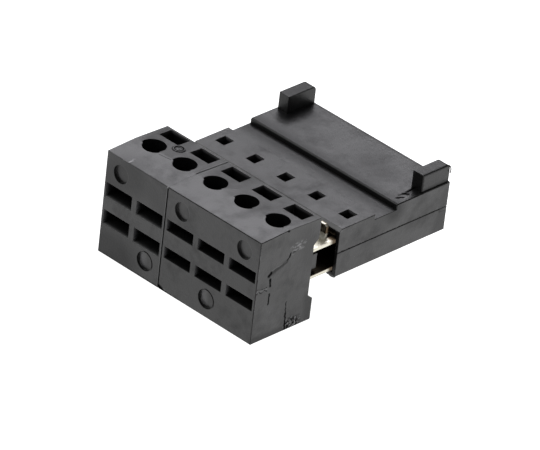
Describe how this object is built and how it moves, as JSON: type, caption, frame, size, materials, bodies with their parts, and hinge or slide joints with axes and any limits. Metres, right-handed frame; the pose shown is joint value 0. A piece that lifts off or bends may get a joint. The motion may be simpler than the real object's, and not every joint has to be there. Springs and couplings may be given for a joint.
{
  "type": "idc socket connector",
  "caption": "Pluggable wire socket: caps with round wire holes slide over forked strip contacts that stand out of a flat housing with pin openings and rear grip lugs.",
  "frame": {"origin": "middle of the mating face, on the plane of the header pins", "axes": "+X across the poles from pole 1 to pole 5, +Y out of the mating face towards the header, +Z towards the wire holes and lugs"},
  "size_m": [0.0248, 0.0316, 0.0135],
  "materials": {
    "black_plastic": "satin moulded",
    "tinned_strip": "bright tin plate on copper alloy"
  },
  "bodies": {
    "housing": {"body_upper_shell": "black_plastic", "body_lower_shell": "black_plastic", "contact_1": "tinned_strip", "contact_2": "tinned_strip", "contact_3": "tinned_strip", "contact_4": "tinned_strip", "contact_5": "tinned_strip"},
    "two_pole_cap": {"wire_cap_two_pole": "black_plastic"},
    "three_pole_cap": {"wire_cap_three_pole": "black_plastic"}
  },
  "joints": [
    {"name": "two_pole_cap_slide", "type": "slide", "parent": "housing", "child": "two_pole_cap", "axis": [0, 1, 0], "range_m": [0, 0.00463]},
    {"name": "three_pole_cap_slide", "type": "slide", "parent": "housing", "child": "three_pole_cap", "axis": [0, 1, 0], "range_m": [0, 0.00463]}
  ]
}
